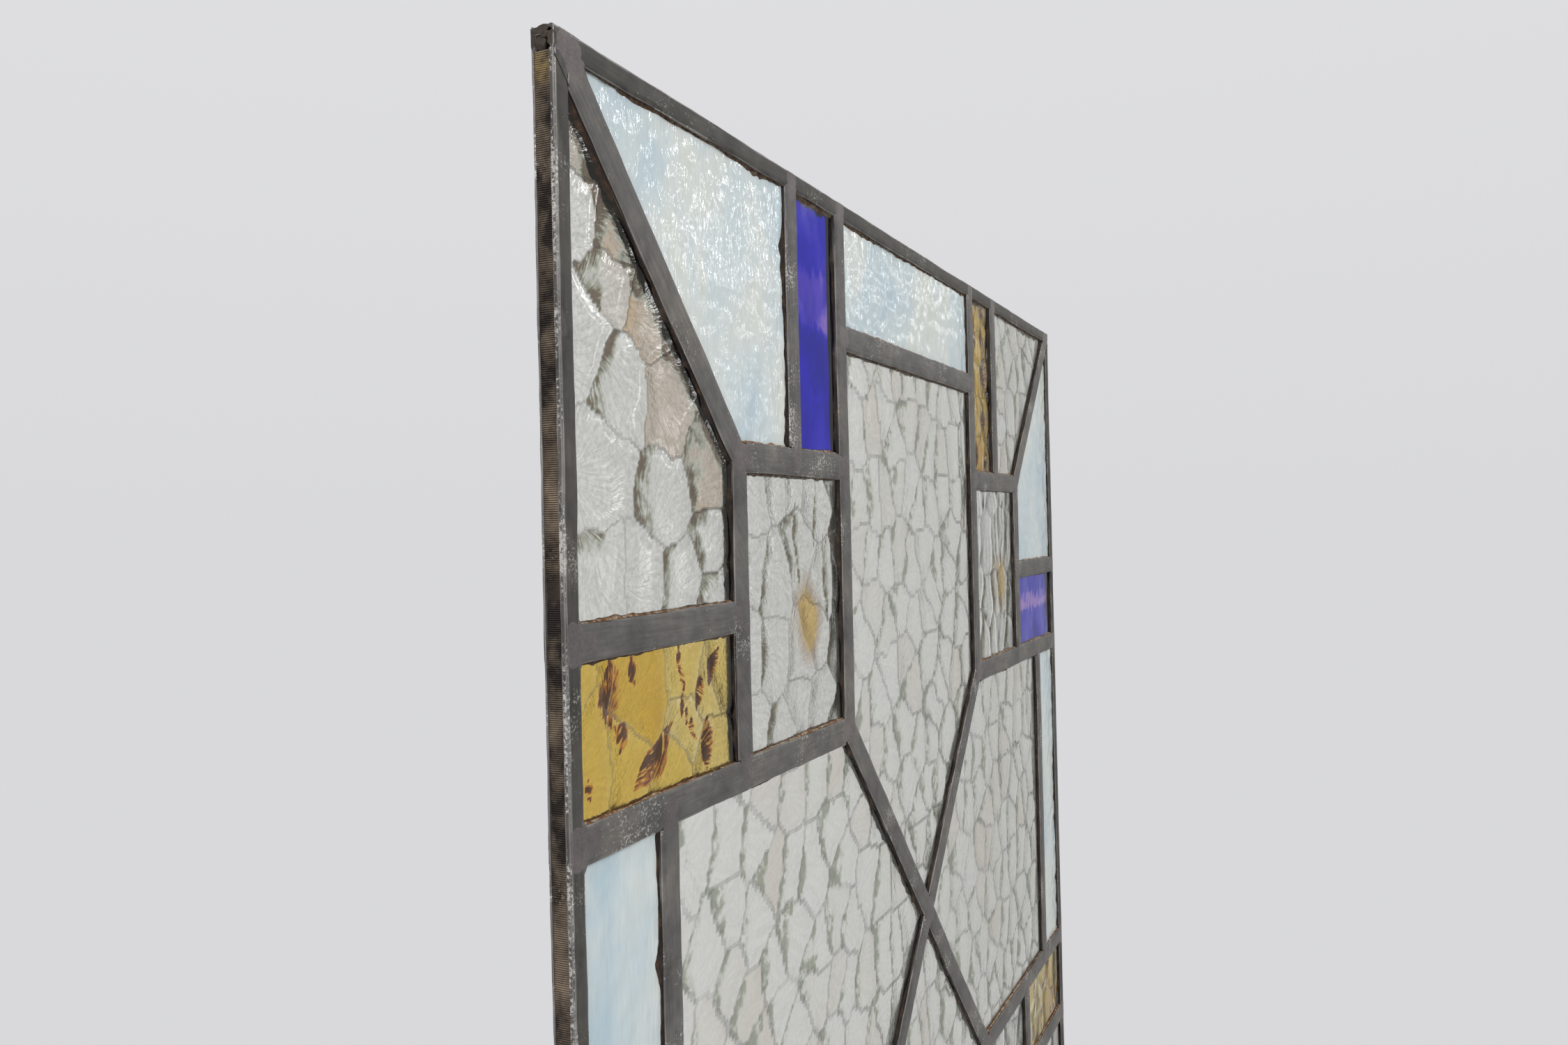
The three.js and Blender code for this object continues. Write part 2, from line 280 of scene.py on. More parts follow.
def lead_material(name, tones, speck_colour, speck_start, metallic, roughness):
    """Bare lead: clouded tones, pale specks of oxide in patches, fine lines along the way it was drawn."""
    material, tree, shader = new_material(name, {"Metallic": metallic})
    place = add_node(tree, "TexCoord").outputs["Object"]
    clouding = add_node(tree, "TexNoise", {"Scale": 1 / (24 * MM), "Detail": 5.0, "Roughness": 0.62},
                        {"Vector": place})
    tone = add_node(tree, "ValToRGB", {}, {"Fac": clouding},
                    [(0.32 + 0.2 * index, colour) for index, colour in enumerate(tones)])
    drawn = add_node(tree, "Attribute", {"attribute_name": "drawn"}).outputs["Vector"]
    along = add_node(tree, "VectorMath", {"operation": "DOT_PRODUCT"}, {0: place, 1: drawn})
    most_of_along = add_node(tree, "Math", {"operation": "MULTIPLY", 1: 0.94}, {0: along})
    shift = add_node(tree, "VectorMath", {"operation": "SCALE"}, {0: drawn, "Scale": most_of_along})
    streaked = add_node(tree, "VectorMath", {"operation": "SUBTRACT"}, {0: place, 1: shift})
    lines = add_node(tree, "TexNoise", {"Scale": 1 / (0.8 * MM), "Detail": 3.0, "Roughness": 0.6},
                     {"Vector": streaked})
    grime = add_node(tree, "TexNoise", {"Scale": 1 / (5 * MM), "Detail": 4.0, "Roughness": 0.65},
                     {"Vector": place})
    lines_and_grime = add_node(tree, "Math", {"operation": "ADD"}, {0: lines, 1: grime})
    line_tone = add_node(tree, "MapRange",
                         {"From Min": 0.7, "From Max": 1.3, "To Min": 0.74, "To Max": 1.22},
                         {"Value": lines_and_grime})
    lined = add_node(tree, "VectorMath", {"operation": "SCALE"}, {0: tone, "Scale": line_tone})
    speckle = add_node(tree, "TexNoise", {"Scale": 1 / (0.8 * MM), "Detail": 2.0, "Roughness": 0.7},
                       {"Vector": place})
    patches = add_node(tree, "TexNoise", {"Scale": 1 / (15 * MM), "Detail": 3.0}, {"Vector": place})
    product = add_node(tree, "Math", {"operation": "MULTIPLY"}, {0: speckle, 1: patches})
    specks = add_node(tree, "MapRange", {"From Min": speck_start, "From Max": speck_start + 0.08},
                      {"Value": product})
    bloomed = add_node(tree, "Mix", {"data_type": "RGBA", "B": linear(speck_colour)},
                       {"Factor": specks, "A": lined})
    dullness = add_node(tree, "MapRange",
                        {"From Min": 0.3, "From Max": 0.7, "To Min": roughness - 0.08,
                         "To Max": roughness + 0.1}, {"Value": clouding})
    heights = add_node(tree, "Math", {"operation": "ADD"}, {0: speckle, 1: lines})
    grain = add_node(tree, "Bump", {"Strength": 0.4, "Distance": 0.12 * MM}, {"Height": heights})
    connect(tree, shader, {"Base Color": bloomed, "Roughness": dullness, "Normal": grain})
    return material


# Drawn lead gone a dull mid grey, the same lead where hands and cloths have rubbed its edges bright, and
# the edges of the flanges, where putty and grime have browned it: name, tones from dark to light, colour of
# the specks and the level at which they start, metallic, and roughness
weathered_lead = lead_material("weathered drawn lead", ("#5E5C5B", "#73706E", "#86817B"), "#C4C2BC",
                               0.345, 0.5, 0.5)
rubbed_lead = lead_material("rubbed lead arris", ("#6F6C6A", "#8A8784", "#A5A29D"), "#CFCDC7",
                            0.33, 0.5, 0.48)
puttied_lead = lead_material("puttied lead edge", ("#2A211B", "#43362C", "#5C5044"), "#8E8577",
                             0.42, 0.2, 0.7)


def brown_edges(piece, index):
    """Gives the edges of the flanges that face along the glass the browned lead."""
    for face in piece.data.polygons:
        depth = abs(face.center.y - middle_depth)
        if abs(face.normal.y) < 0.35 and depth > 0.6 * half_thickness:
            face.material_index = index


def held_in(value, axis, margin=keep_in):
    """A place along an axis, held inside the panel's size."""
    return min(max(value, cad_low[axis] + margin), cad_high[axis] - margin)


# The unevenness of hand work is scattered, and the same each time the script runs
hand_seed = 5
noise.seed_set(hand_seed)


def dress_by_hand(piece):
    """Lets the lead wander a little sideways, frays its edges, and beats its faces just off the flat."""
    for vertex in piece.data.vertices:
        point = vertex.co.copy()
        depth = (point.y - middle_depth) / half_thickness
        wander = noise.noise_vector(Vector((point.x, 0.0, point.z)) / (48 * MM)) * 0.45 * MM
        fray = noise.noise_vector(Vector((point.x, 4 * depth, point.z)) / (8 * MM)) * 0.3 * MM
        beat = noise.noise(point / (14 * MM)) * 0.06 * MM
        point.x = held_in(point.x + wander.x + fray.x, 0)
        point.z = held_in(point.z + wander.z + fray.z, 2)
        point.y = middle_depth + depth * (half_thickness - face_drop + beat)
        vertex.co = point


def mark(piece, name, values):
    """Notes a number on each point of a piece, for its material to read."""
    piece.data.attributes.new(name, "FLOAT", "POINT").data.foreach_set("value", values)


def finish_lead(piece, node):
    """Smooth shading, and the piece's place on the object."""
    make_active(piece)
    bpy.ops.object.shade_smooth_by_angle(angle=lead_smoothing)
    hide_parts(node)
    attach(piece, "root")


for node in sorted(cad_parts):
    if not node.startswith("came_"):
        continue
    piece = shape_of(node, "lead_" + node)
    for material in (weathered_lead, rubbed_lead, puttied_lead):
        piece.data.materials.append(material)
    mark_draw(piece)
    brown_edges(piece, 2)
    round_arrises(piece)
    low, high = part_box(node)
    if high.z - low.z > longest_stiff:
        cut_stations(piece, 2, low.z, high.z, station_step)
    if high.x - low.x > longest_stiff:
        cut_stations(piece, 0, low.x, high.x, station_step)
    dress_by_hand(piece)
    finish_lead(piece, node)


# Border cames: one channel only, towards the glass. Outside, the heart lies back between two lips and is
# milled with fine ribs across, which hold brown grime. The side borders stand between the top and bottom
# ones.
heart_depth = 0.7 * MM
back_lip_end = -0.8 * MM
front_lip_end = -5.0 * MM
flange_spread = 0.6 * MM
rib_pitch = 0.5 * MM
rib_radius = 0.25 * MM
rib_sink = 0.62 * MM
smear_reach = 5 * MM
lip_root = (-2 * MM, -1 * MM)
flange_start = 3.5 * MM

# The grimy heart, the scuffed ends of the lips, and the flanges, sootier than those of the other cames
grimy_lead = lead_material("grimy milled lead", ("#2B2521", "#453B33", "#6B6053"), "#A79C8B",
                           0.36, 0.3, 0.55)
scuffed_lead = lead_material("scuffed lead lip", ("#45423F", "#625E5A", "#7C7771"), "#C9C6C0",
                             0.25, 0.5, 0.5)
sooty_lead = lead_material("sooty drawn lead", ("#474442", "#595653", "#6A6661"), "#A9A69F",
                           0.37, 0.5, 0.5)

# The ribs are dark with grime, paler brown on their tops in patches, partly wear and partly a painted
# highlight, and smeared with dried putty at the upper end of the left border
rib_lead = lead_material("worn milled ribs", ("#231C18", "#2E2520", "#3A2F26"), "#A79C8B", 0.40, 0.3, 0.55)
tree = rib_lead.node_tree
shader = tree.nodes["Principled BSDF"]
under_colour = shader.inputs["Base Color"].links[0].from_socket
place = add_node(tree, "TexCoord").outputs["Object"]
worn_and_highlit = add_node(tree, "Attribute", {"attribute_name": "worn_and_highlit"}).outputs["Fac"]
smeared = add_node(tree, "Attribute", {"attribute_name": "smeared"}).outputs["Fac"]
wear_patches = add_node(tree, "TexNoise", {"Scale": 1 / (14 * MM), "Detail": 4.0, "Roughness": 0.7},
                        {"Vector": place})
wear_and_highlight_amount = add_node(tree, "MapRange", {"From Min": 0.42, "From Max": 0.7}, {"Value": wear_patches})
wear_and_highlight = add_node(tree, "Math", {"operation": "MULTIPLY"}, {0: wear_and_highlight_amount, 1: worn_and_highlit})
worn_and_highlit_tops = add_node(tree, "Mix", {"data_type": "RGBA", "B": linear("#9C8A75")},
                     {"Factor": wear_and_highlight, "A": under_colour})
smear_patches = add_node(tree, "MapRange", {"From Min": 0.4, "From Max": 0.56, "To Max": 0.8},
                         {"Value": wear_patches})
smear = add_node(tree, "Math", {"operation": "MULTIPLY"}, {0: smear_patches, 1: smeared})
putty_smear = add_node(tree, "Mix", {"data_type": "RGBA", "B": linear("#B49B66")},
                       {"Factor": smear, "A": worn_and_highlit_tops})
connect(tree, shader, {"Base Color": putty_smear})

for node in ("border_left", "border_right", "border_top", "border_bottom"):
    piece = shape_of(node, "lead_" + node)
    for material in (sooty_lead, rubbed_lead, grimy_lead, scuffed_lead, puttied_lead):
        piece.data.materials.append(material)
    mark_draw(piece)
    low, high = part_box(node)
    along, across = (2, 0) if high.z - low.z > high.x - low.x else (0, 2)
    outside_low = node in ("border_left", "border_bottom")
    outer = low[across] if outside_low else high[across]
    inward = 1 if outside_low else -1
    brown_edges(piece, 4)
    for face in piece.data.polygons:
        inset = (face.center[across] - outer) * inward
        if abs(face.normal[across]) > 0.5 and inset < 0.4 * heart_depth:
            face.material_index = 3
        elif abs(face.normal[across]) > 0.5 and inset < 1.4 * heart_depth:
            face.material_index = 2
    for vertex in piece.data.vertices:
        inset = (vertex.co[across] - outer) * inward
        if inset < 1.4 * heart_depth and lip_root[0] < vertex.co.y - cad_high.y < lip_root[1]:
            vertex.co.y = cad_high.y + back_lip_end
        if inset > flange_start:
            vertex.co[across] += flange_spread * inward
    round_arrises(piece)
    cut_stations(piece, along, low[along], high[along], station_step)
    dress_by_hand(piece)

    # The ribs: one thin half-sunk bar, repeated along the heart
    first = Vector((0.0, cad_high.y + (back_lip_end + front_lip_end) / 2, 0.0))
    first[across] = outer + rib_sink * inward
    first[along] = low[along] + 0.5 * rib_pitch
    ribs = fresh_shape(bpy.ops.mesh.primitive_cylinder_add, vertices=6, radius=rib_radius,
                       depth=back_lip_end - front_lip_end, location=first, rotation=(math.pi / 2, 0.0, 0.0))
    row = ribs.modifiers.new("row", "ARRAY")
    row.use_relative_offset = False
    row.use_constant_offset = True
    row.constant_offset_displace = [0.0, 0.0, 0.0]
    row.constant_offset_displace[along] = rib_pitch
    row.count = int((high[along] - low[along]) / rib_pitch)
    apply_modifiers(ribs)
    # The tops of the ribs, marked for their paler brown of wear and painted highlight
    worn_and_highlit_marks = [min(1.0, max(0.0, (first[across] - vertex.co[across]) * inward / rib_radius + 0.3))
                  for vertex in ribs.data.vertices]
    smeared_end = node == "border_left"
    smear_at = high[along] - 4 * MM
    smear_marks = [smeared_end * max(0.0, 1.0 - abs(smear_at - vertex.co[along]) / smear_reach)
                   for vertex in ribs.data.vertices]
    mark(ribs, "worn_and_highlit", worn_and_highlit_marks)
    mark(ribs, "smeared", smear_marks)
    for vertex in ribs.data.vertices:
        vertex.co[across] += 0.12 * MM * noise.noise(vertex.co / (6 * MM))
        vertex.co[along] += 0.14 * MM * noise.noise(vertex.co / (3 * MM))
        vertex.co[across] = held_in(vertex.co[across], across)
        vertex.co[along] = held_in(vertex.co[along], along)
    ribs.data.materials.append(rib_lead)
    join_to(piece, [ribs])
    finish_lead(piece, node)


# Glass panes: cut from rolled sheet about 3.4 mm thick, hammered or rippled on the front and smooth behind.
# Each lies in the channels round it with its front about 1.6 mm below the face of the lead.
def pane_outline(node):
    """The corner points of a pane, in order, as places across and up the panel."""
    blank = shape_of(node, "outline")
    front = min(blank.data.polygons, key=lambda face: face.center.y)
    corners = [Vector((blank.data.vertices[index].co.x, blank.data.vertices[index].co.z))
               for index in front.vertices]
    bpy.data.objects.remove(blank)
    return corners


def inward_sides(corners):
    """Each side of an outline as its start, its end, and the direction into the pane."""
    centre = sum(corners, Vector((0.0, 0.0))) / len(corners)
    sides = []
    for start, end in zip(corners, corners[1:] + corners[:1]):
        run = (end - start).normalized()
        inward = Vector((-run.y, run.x))
        if (centre - start).dot(inward) < 0:
            inward = -inward
        sides.append((start, end, inward))
    return sides


def pane_blank(node, step, margin):
    """A pane cut to its outline from a fine net, with flat sides and back. Its relief fades in over the
    margin."""
    low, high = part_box(node)
    middle = (low + high) / 2
    columns = max(2, round((high.x - low.x) / step) + 2)
    rows = max(2, round((high.z - low.z) / step) + 2)
    bpy.ops.object.select_all(action="DESELECT")
    bpy.ops.mesh.primitive_grid_add(x_subdivisions=columns, y_subdivisions=rows, size=1.0,
                                    location=(middle.x, low.y, middle.z), rotation=(math.pi / 2, 0.0, 0.0))
    pane = bpy.context.object
    pane.name = "glass_" + node[5:]
    pane.scale = (columns * step, rows * step, 1.0)
    bpy.ops.object.transform_apply(location=True, rotation=True, scale=True)
    sides = inward_sides(pane_outline(node))
    make_active(pane)
    bpy.ops.object.mode_set(mode="EDIT")
    for start, end, inward in sides:
        bpy.ops.mesh.select_all(action="SELECT")
        bpy.ops.mesh.bisect(plane_co=(start.x, 0.0, start.y), plane_no=(inward.x, 0.0, inward.y),
                            clear_inner=True)
    bpy.ops.mesh.select_all(action="DESELECT")
    bpy.ops.mesh.select_mode(type="EDGE")
    bpy.ops.mesh.select_non_manifold()
    bpy.ops.mesh.extrude_edges_move(TRANSFORM_OT_translate={"value": (0.0, high.y - low.y, 0.0)})
    bpy.ops.mesh.edge_face_add()
    bpy.ops.mesh.poke()
    bpy.ops.mesh.select_all(action="SELECT")
    bpy.ops.mesh.normals_make_consistent(inside=False)
    bpy.ops.mesh.select_mode(type="VERT")
    bpy.ops.object.mode_set(mode="OBJECT")
    front = pane.vertex_groups.new(name="front")
    for vertex in pane.data.vertices:
        if vertex.co.y < middle.y:
            point = Vector((vertex.co.x, vertex.co.z))
            inset = min((point - start).dot(inward) for start, _, inward in sides)
            front.add([vertex.index], min(1.0, 0.25 + 0.75 * inset / margin), "REPLACE")
    return pane


def press(pane, texture, depth):
    """Presses soft swellings into the front of a pane."""
    relief = pane.modifiers.new(texture.name, "DISPLACE")
    relief.texture = texture
    relief.texture_coords = "LOCAL"
    relief.direction = "Y"
    relief.strength = depth
    relief.mid_level = 0.5
    relief.vertex_group = "front"


def cloud_texture(name, size):
    """Soft swellings of one average size."""
    texture = bpy.data.textures.new(name, "CLOUDS")
    texture.noise_scale = size
    texture.noise_depth = 2
    return texture


def scatter_facets(node, cell, tall, reach, share, start):
    """One facet in each box of a loose grid: its middle, its shade, and how far its left flank reaches."""
    low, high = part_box(node)
    facets = []
    for column in range(math.floor(low.x / cell) - 1, math.ceil(high.x / cell) + 1):
        for line in range(math.floor(low.z / (cell * tall)) - 1, math.ceil(high.z / (cell * tall)) + 1):
            chance = noise.cell_vector(Vector((column + 0.5, start + 0.5, line + 0.5)))
            luck = noise.cell_vector(Vector((column + 0.5, start + 70.5, line + 0.5))).x
            x = (column + 0.12 + 0.76 * chance.x) * cell
            z = (line + 0.12 + 0.76 * chance.y) * cell * tall
            flank = reach * (0.5 + 0.7 * luck / share) if luck < share else 0.0
            facets.append((x, z, 0.75 * chance.z, flank))
    return facets


def laid_place(node, across, up):
    """A place, given in millimetres right of and above the lower left corner of a pane. In a
    pane on the right of the panel, or in its lower half, the layout is mirrored with the pane."""
    low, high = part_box(node)
    return (low.x + across * MM if node.endswith("left") else high.x - across * MM,
            low.z + up * MM if "_upper_" in node else high.z - up * MM)


def laid_facets(node, facets):
    """Facets given one by one, each with its place, its shade, and the reach of its left flank."""
    return [(*laid_place(node, across, up), shade, reach * MM) for across, up, shade, reach in facets]


def hammer(pane, node, facets, cell, sink, pillow, sharp, upright, band, flames=(), amber_reflection=None):
    """Hammers the front of a pane into pillowed facets with sunk creases between them, which fade by the
    share of upright where one facet stands above another. It marks painted shade on the left flank of a
    facet, in the flames, and in a scalloped band under the cames on the right."""
    tree_of_facets = kdtree.KDTree(len(facets))
    for index, (x, z, _, _) in enumerate(facets):
        tree_of_facets.insert((x, 0.0, z), index)
    tree_of_facets.balance()
    right_sides = [(start, inward) for start, _, inward in inward_sides(pane_outline(node))
                   if inward.x < -0.2]
    shades, flank_shades, brushes = [], [], []
    for vertex in pane.data.vertices:
        point = vertex.co.copy()
        if not vertex.groups:
            shades.append(0.0)
            flank_shades.append(0.0)
            brushes.extend(point)
            continue
        flat = Vector((point.x, 0.0, point.z))
        bend = noise.noise_vector(flat / (0.5 * cell)) * 0.13 * cell
        bend += noise.noise_vector(flat / (0.12 * cell)) * 0.4 * MM
        spot = Vector((point.x + bend.x, 0.0, point.z + bend.z))
        (middle, own, distance), *others = tree_of_facets.find_n(spot, 5)
        across = spot.x - middle.x
        along = spot.z - middle.z
        crease = cell
        flank = 0.0
        # The left flank of a facet takes painted shade, reaching in from the crease by the facet's reach.
        leftwards = (0.25 * along - across) / (math.hypot(across, along) + 0.01 * MM)
        reach = facets[own][3] * min(1.0, max(0.0, 2.2 * leftwards - 0.7))
        for other, _, other_distance in others:
            apart = (other - middle).length
            gap = (other_distance ** 2 - distance ** 2) / (2 * apart)
            crease = min(crease, gap + upright * pillow * ((other.z - middle.z) / apart) ** 2)
            if other.x < middle.x and reach > 0.1 * MM:
                flank = max(flank, 1.0 - gap / reach)
        seam = min(1.0, crease / pillow)
        # Flames of painted shade, darkest at their left side and fading towards their ragged right side.
        for x, z, half_width, half_height, tilt in flames:
            beside = (spot.x - x) * math.cos(tilt) + (spot.z - z) * math.sin(tilt)
            above = (spot.z - z) * math.cos(tilt) - (spot.x - x) * math.sin(tilt)
            swell = half_width * (1.0 - (above / half_height) ** 2)
            if swell > abs(beside):
                share = 0.5 + 0.5 * beside / swell
                flank = max(flank, min(1.0, 8.0 * share) * (1.1 - share))
        # A scalloped band of painted shade under the cames on the right sides, where the dark lead and
        # putty show through the glass.
        for start, inward in right_sides:
            inset = (Vector((point.x, point.z)) - start).dot(inward)
            edge = (3.2 + band * (1.0 if inward.y > -0.3 else 1.7) + band * (1.0 - seam)) * MM
            flank = max(flank, min(1.0, (edge - inset) / (2.5 * MM)))
        weight = vertex.groups[0].weight
        lean = noise.cell_vector(Vector((own + 0.5, 0.5, 0.5)))
        pillowed = sink * ((1.0 - seam ** (2.0 - sharp)) ** 2 - 0.3)
        tipped = 0.012 * sharp * (lean.x - 0.5) * across
        vertex.co.y += weight * (pillowed + tipped)
        drift = noise.noise(flat / (60 * MM))
        # Along the creases the shade mark rises, which paints the amber panes paler there: a painted
        # highlight.
        shade = 0.67 * facets[own][2] + 0.2 * drift + 0.12 * (1.0 - seam) ** 3
        # A soft amber blotch, a painted reflection, raises the shade mark towards amber.
        if amber_reflection:
            off_reflection = math.hypot(spot.x - amber_reflection[0], 0.7 * (spot.z - amber_reflection[1])) / amber_reflection[2]
            shade += 1.1 * max(0.0, 1.0 - off_reflection) ** 0.8
        shades.append(shade)
        flank_shades.append(flank * min(1.0, 2.0 * weight))
        swing = (lean.y - 0.5) * 1.6
        outward = across * math.cos(swing) + along * math.sin(swing) + 0.9 * cell
        sideways = along * math.cos(swing) - across * math.sin(swing)
        brushes.extend((math.atan2(sideways, outward) * cell, lean.z, 0.12 * math.hypot(sideways, outward)))
    mark(pane, "shade", shades)
    mark(pane, "flank", flank_shades)
    pane.data.attributes.new("brush", "FLOAT_VECTOR", "POINT").data.foreach_set("vector", brushes)


def place_pane(pane, node, material):
    """Fixed relief, smooth shading, material, and the pane's place on the object."""
    apply_modifiers(pane)
    bpy.ops.object.shade_smooth_by_angle(angle=math.radians(50))
    pane.data.materials.append(material)
    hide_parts(node)
    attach(pane, "root")


def see_through_glass(name, shade_stops, flank_shade_stops, soft, ragged_by, patchy_by, hair_width, hair_contrast,
                      hair_height):
    """Hammered glass, tinted through its thickness: each facet has a shade of its own and is brushed with
    fine lines that fan out, and its steep left flank is painted darker in ragged tones, a painted shade."""
    material, tree, shader = new_material(name, {"Transmission Weight": 1.0, "IOR": 1.52,
                                                 "Roughness": 0.04})
    place = add_node(tree, "TexCoord").outputs["Object"]
    shade = add_node(tree, "Attribute", {"attribute_name": "shade"}).outputs["Fac"]
    flank = add_node(tree, "Attribute", {"attribute_name": "flank"}).outputs["Fac"]
    brush = add_node(tree, "Attribute", {"attribute_name": "brush"}).outputs["Vector"]
    hairs = add_node(tree, "TexNoise", {"Scale": 1 / hair_width, "Detail": 3.0, "Roughness": 0.65},
                     {"Vector": brush})
    clouding = add_node(tree, "TexNoise", {"Scale": 1 / (9 * MM), "Detail": 3.0}, {"Vector": place})
    mottle = add_node(tree, "TexNoise", {"Scale": 1 / (3 * MM), "Detail": 3.0}, {"Vector": place})
    drifted = add_node(tree, "Math", {"operation": "MULTIPLY_ADD", 1: 0.2}, {0: clouding, 2: shade})
    body = add_node(tree, "ValToRGB", {}, {"Fac": drifted}, shade_stops)
    ragged = add_node(tree, "Math", {"operation": "MULTIPLY_ADD", 1: ragged_by, 2: 1.0 - 0.5 * ragged_by},
                      {0: hairs})
    patchy = add_node(tree, "Math", {"operation": "MULTIPLY_ADD", 1: patchy_by, 2: -0.5 * patchy_by},
                      {0: clouding})
    speckled = add_node(tree, "Math", {"operation": "MULTIPLY_ADD", 1: patchy_by, 2: -0.5 * patchy_by},
                        {0: mottle})
    broken = add_node(tree, "Math", {"operation": "ADD"}, {0: patchy, 1: speckled})
    evened = add_node(tree, "Math", {"operation": "ADD"}, {0: ragged, 1: broken})
    # The flank mark paints shade: darker, ragged tones on the steep left flanks, in the flames and in the
    # band under the cames.
    flame = add_node(tree, "Math", {"operation": "MULTIPLY"}, {0: flank, 1: evened})
    edge = add_node(tree, "MapRange", {"From Min": 0.3 - soft, "From Max": 0.36 + soft}, {"Value": flame})
    deep = add_node(tree, "ValToRGB", {}, {"Fac": flame}, flank_shade_stops)
    tinted = add_node(tree, "Mix", {"data_type": "RGBA"}, {"Factor": edge, "A": body, "B": deep})
    # The fine lines also darken the colour a little: painted shade along them, besides their bump.
    line_tone = add_node(tree, "MapRange",
                         {"From Min": 0.35, "From Max": 0.65, "To Min": 1.0 - hair_contrast,
                          "To Max": 1.0}, {"Value": hairs})
    lined = add_node(tree, "VectorMath", {"operation": "SCALE"}, {0: tinted, "Scale": line_tone})
    lines = add_node(tree, "Bump", {"Strength": 0.6, "Distance": hair_height}, {"Height": hairs})
    connect(tree, shader, {"Base Color": lined, "Normal": lines})
    return material


wave = cloud_texture("wave", 30 * MM)

# Clear panes: hammered into facets 15 to 30 mm across. Some carry a rosy breath, and the upright panes a
# soft amber blotch that is a painted reflection. The flanks between them carry painted shade in grey-green,
# dark in the panes along the edges of the panel and pale in the others.
clear_glass = see_through_glass("hammered clear glass",
                                [(0.0, "#FBFBF5"), (0.42, "#F6F6EF"), (0.6, "#DFD1C0"), (0.78, "#CBB59D"),
                                 (1.1, "#E0A848")],
                                [(0.3, "#D0D4C3"), (0.55, "#A5AA92"), (0.85, "#6E6A56"), (1.12, "#4A3A2C")],
                                soft=0.12, ragged_by=3.2, patchy_by=2.4, hair_width=1.1 * MM,
                                hair_contrast=0.3, hair_height=0.14 * MM)
soft_clear_glass = see_through_glass("soft hammered clear glass",
                                     [(0.0, "#FEFEF9"), (0.4, "#FAFAF3"), (0.6, "#F0E8DC"),
                                      (0.8, "#E6D8C8")],
                                     [(0.1, "#EFF1E6"), (0.4, "#D2D7C6"), (0.7, "#AEB59F"),
                                      (1.0, "#868B78")],
                                     soft=0.27, ragged_by=2.4, patchy_by=4.6, hair_width=1.6 * MM,
                                     hair_contrast=0.14, hair_height=0.08 * MM)
# The facets of the side corners: place across and up, shade, and reach of the painted shade on the flank
corner_facets = (
    (4, 126, 0.85, 0), (10, 114, 0.8, 5), (9, 101, 0.3, 0), (22, 97, 0.9, 9), (21, 85, 0.5, 8),
    (37, 78, 0.95, 0), (9, 71, 0.1, 0), (26, 61, 0.35, 8), (47, 58, 0.85, 0), (16, 38, 0.05, 0),
    (45, 32, 0.2, 9), (68, 41, 0.9, 12), (70, 20, 0.15, 8), (19, 13, 0.2, 7), (32, 12, 0.3, 0),
    (52, 10, 0.3, 4), (73, 6, 0.5, 7),
)
facet_cell = 20 * MM
wave_depth = 0.1 * MM
for number, node in enumerate(sorted(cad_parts)):
    if not node.startswith("pane_clear_"):
        continue
    low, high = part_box(node)
    by_the_edge = "corner_side" in node or "upright" in node
    flames = ()
    amber_reflection = None
    if "corner_side" in node:
        facets = laid_facets(node, corner_facets)
    elif "upright" in node:
        facets = [(x, z, 0.5 * shade, reach)
                  for x, z, shade, reach in scatter_facets(node, 16 * MM, 1.6, 9.0 * MM, 0.45, number)]
        width, height = high.x - low.x, high.z - low.z
        # A soft amber blotch, a painted reflection, and three dark flames of painted shade
        amber_reflection = (low.x + 0.62 * width, low.z + 0.45 * height, 13 * MM)
        flames = ((low.x + 0.8 * width, low.z + 0.6 * height, 3 * MM, 16 * MM, 0.1),
                  (low.x + 0.7 * width, low.z + 0.84 * height, 2 * MM, 12 * MM, -0.1),
                  (low.x + 0.52 * width, low.z + 0.7 * height, 2.5 * MM, 15 * MM, 0.05))
    else:
        facets = scatter_facets(node, 15 * MM, 1.6, 8.5 * MM, 0.9 if low.x < 0 else 0.7, number)
    if by_the_edge:
        pane = pane_blank(node, 0.85 * MM, 6.0 * MM)
        hammer(pane, node, facets, facet_cell, sink=0.4 * MM, pillow=5.5 * MM, sharp=0.6, upright=0.2,
               band=3.4 if flames else 4.0, flames=flames, amber_reflection=amber_reflection)
    else:
        pane = pane_blank(node, 1.5 * MM, 6.0 * MM)
        hammer(pane, node, facets, facet_cell, sink=(0.17 if low.x < 0 else 0.08) * MM,
               pillow=7.5 * MM, sharp=0.0, upright=0.9, band=2.0)
    press(pane, wave, wave_depth)
    place_pane(pane, node, clear_glass if by_the_edge else soft_clear_glass)

# Amber panes: hammered like the clear ones. Golden, paler and greyer in places, with dark brown flames
# of painted shade that turn orange at their ragged side.
amber_glass = see_through_glass("hammered amber glass",
                                [(0.12, "#EFD484"), (0.24, "#C88A1C"), (0.4, "#E2AE2C"), (0.6, "#F0C848"),
                                 (0.8, "#F4DA74"), (0.95, "#F4E6AC")],
                                [(0.26, "#E8A63C"), (0.42, "#C8681E"), (0.58, "#6A2614"),
                                 (0.74, "#24100C")],
                                soft=0.02, ragged_by=5.0, patchy_by=1.6, hair_width=1.1 * MM,
                                hair_contrast=0.2, hair_height=0.2 * MM)
square_facets = (
    (-14, 30, 0.6, 0), (34, 30, 0.42, 0), (24, 10, 0.65, 0), (8, 10, 0.55, 0), (44, 6, 0.8, 0),
    (53, 33, 1.0, 0), (54, 19, 1.15, 0), (64, 26, 1.1, 0), (73, 30, 1.05, 0), (68, 10, 1.0, 0),
)
